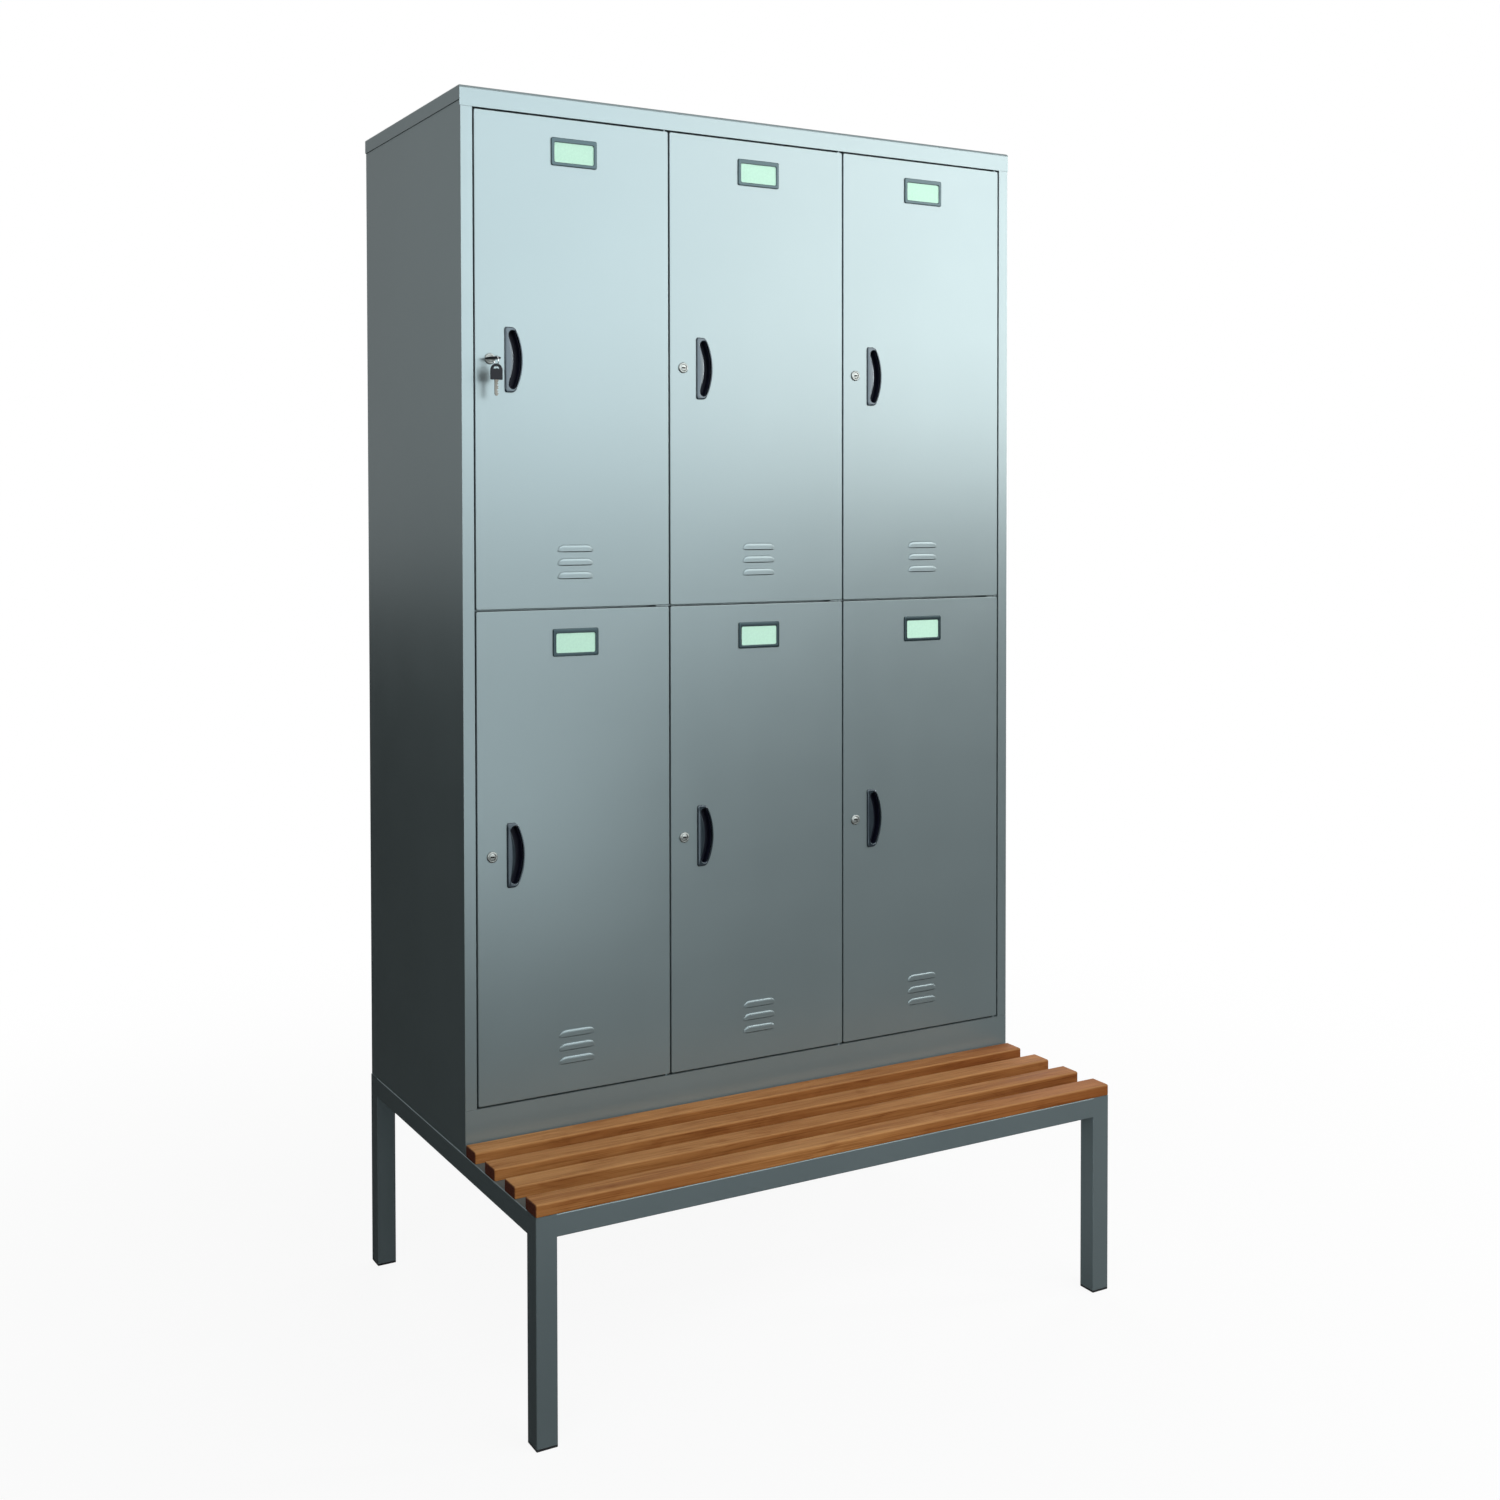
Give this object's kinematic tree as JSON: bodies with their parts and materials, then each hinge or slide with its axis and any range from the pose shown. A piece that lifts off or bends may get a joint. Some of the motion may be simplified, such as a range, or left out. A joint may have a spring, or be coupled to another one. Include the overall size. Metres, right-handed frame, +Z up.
{
  "type": "wardrobe with bench",
  "caption": "Steel locker with hinged doors, cam locks and recessed pulls, on a tubular stand that carries a slatted wooden bench along the front.",
  "frame": {"origin": "on the floor, at the middle of the whole object's width and depth", "axes": "+Z up, +X along the front from the left to the right as one faces the doors, +Y from the bench to the back of the locker"},
  "size_m": [1.15, 0.815, 2.165],
  "materials": {
    "steel_body": "smooth satin powder coat, silver grey with a blue cast",
    "steel_stand": "smooth satin powder coat, darker silver grey",
    "slat_wood": "red-brown hardwood with clear satin varnish",
    "foot_plastic": "black plastic tube plug",
    "pull_plastic": "blue-grey moulded plastic, fine satin texture",
    "label_plastic": "grey moulded plastic frame",
    "lock_chrome": "polished chrome plate",
    "cam_steel": "zinc-plated steel",
    "key_black": "black key, plastic-covered head",
    "ring_steel": "bright steel wire"
  },
  "bodies": {
    "cabinet": {"top_cap": "steel_body", "base_pan": "steel_body", "side_panel_left": "steel_body", "side_panel_right": "steel_body", "back_panel": "steel_body", "partition_1": "steel_body", "partition_2": "steel_body", "shelf_1": "steel_body", "shelf_2": "steel_body", "shelf_3": "steel_body", "leg_front_left": "steel_stand", "leg_front_right": "steel_stand", "leg_rear_left": "steel_stand", "leg_rear_right": "steel_stand", "foot_plug_front_left": "foot_plastic", "foot_plug_front_right": "foot_plastic", "foot_plug_rear_left": "foot_plastic", "foot_plug_rear_right": "foot_plastic", "side_rail_left": "steel_stand", "side_rail_right": "steel_stand", "front_rail": "steel_stand", "rear_rail": "steel_stand", "cross_rail": "steel_stand", "bench_slat_1": "slat_wood", "bench_slat_2": "slat_wood", "bench_slat_3": "slat_wood", "bench_slat_4": "slat_wood"},
    "door_leaf_1": {"door_1": "steel_body", "pull_1": "pull_plastic", "label_holder_1": "label_plastic", "lock_barrel_1": "lock_chrome"},
    "door_leaf_2": {"door_2": "steel_body", "pull_2": "pull_plastic", "label_holder_2": "label_plastic", "lock_barrel_2": "lock_chrome"},
    "door_leaf_3": {"door_3": "steel_body", "pull_3": "pull_plastic", "label_holder_3": "label_plastic", "lock_barrel_3": "lock_chrome"},
    "door_leaf_4": {"door_4": "steel_body", "pull_4": "pull_plastic", "label_holder_4": "label_plastic", "lock_barrel_4": "lock_chrome"},
    "door_leaf_5": {"door_5": "steel_body", "pull_5": "pull_plastic", "label_holder_5": "label_plastic", "lock_barrel_5": "lock_chrome"},
    "door_leaf_6": {"door_6": "steel_body", "pull_6": "pull_plastic", "label_holder_6": "label_plastic", "lock_barrel_6": "lock_chrome"},
    "lock_1": {"lock_cam_1": "cam_steel", "key": "key_black", "key_ring": "ring_steel"},
    "lock_2": {"lock_cam_2": "cam_steel"},
    "lock_3": {"lock_cam_3": "cam_steel"},
    "lock_4": {"lock_cam_4": "cam_steel"},
    "lock_5": {"lock_cam_5": "cam_steel"},
    "lock_6": {"lock_cam_6": "cam_steel"},
    "hanging_key": {"spare_key": "key_black"}
  },
  "joints": [
    {"name": "door_hinge_1", "type": "hinge", "parent": "cabinet", "child": "door_leaf_1", "pos_m": [-0.19083, -0.097, 1.2865], "axis": [0, 0, 1], "range_deg": [0, 105]},
    {"name": "door_hinge_2", "type": "hinge", "parent": "cabinet", "child": "door_leaf_2", "pos_m": [0.17683, -0.097, 1.2865], "axis": [0, 0, 1], "range_deg": [0, 105]},
    {"name": "door_hinge_3", "type": "hinge", "parent": "cabinet", "child": "door_leaf_3", "pos_m": [0.5445, -0.097, 1.2865], "axis": [0, 0, 1], "range_deg": [0, 105]},
    {"name": "door_hinge_4", "type": "hinge", "parent": "cabinet", "child": "door_leaf_4", "pos_m": [-0.19083, -0.097, 0.443], "axis": [0, 0, 1], "range_deg": [0, 105]},
    {"name": "door_hinge_5", "type": "hinge", "parent": "cabinet", "child": "door_leaf_5", "pos_m": [0.17683, -0.097, 0.443], "axis": [0, 0, 1], "range_deg": [0, 105]},
    {"name": "door_hinge_6", "type": "hinge", "parent": "cabinet", "child": "door_leaf_6", "pos_m": [0.5445, -0.097, 0.443], "axis": [0, 0, 1], "range_deg": [0, 105]},
    {"name": "lock_turn_1", "type": "hinge", "parent": "door_leaf_1", "child": "lock_1", "pos_m": [-0.5235, -0.1025, 1.71], "axis": [0, 1, 0], "range_deg": [0, 90]},
    {"name": "lock_turn_2", "type": "hinge", "parent": "door_leaf_2", "child": "lock_2", "pos_m": [-0.15583, -0.1025, 1.71], "axis": [0, 1, 0], "range_deg": [0, 90]},
    {"name": "lock_turn_3", "type": "hinge", "parent": "door_leaf_3", "child": "lock_3", "pos_m": [0.21183, -0.1025, 1.71], "axis": [0, 1, 0], "range_deg": [0, 90]},
    {"name": "lock_turn_4", "type": "hinge", "parent": "door_leaf_4", "child": "lock_4", "pos_m": [-0.5235, -0.1025, 0.8665], "axis": [0, 1, 0], "range_deg": [0, 90]},
    {"name": "lock_turn_5", "type": "hinge", "parent": "door_leaf_5", "child": "lock_5", "pos_m": [-0.15583, -0.1025, 0.8665], "axis": [0, 1, 0], "range_deg": [0, 90]},
    {"name": "lock_turn_6", "type": "hinge", "parent": "door_leaf_6", "child": "lock_6", "pos_m": [0.21183, -0.1025, 0.8665], "axis": [0, 1, 0], "range_deg": [0, 90]},
    {"name": "spare_key_swing", "type": "hinge", "parent": "lock_1", "child": "hanging_key", "pos_m": [-0.5235, -0.1323, 1.69475], "axis": [0, 1, 0], "range_deg": [-90, 0]}
  ],
  "couplings": [
    {"joint": "spare_key_swing", "follows": "lock_turn_1", "ratio": -1}
  ]
}
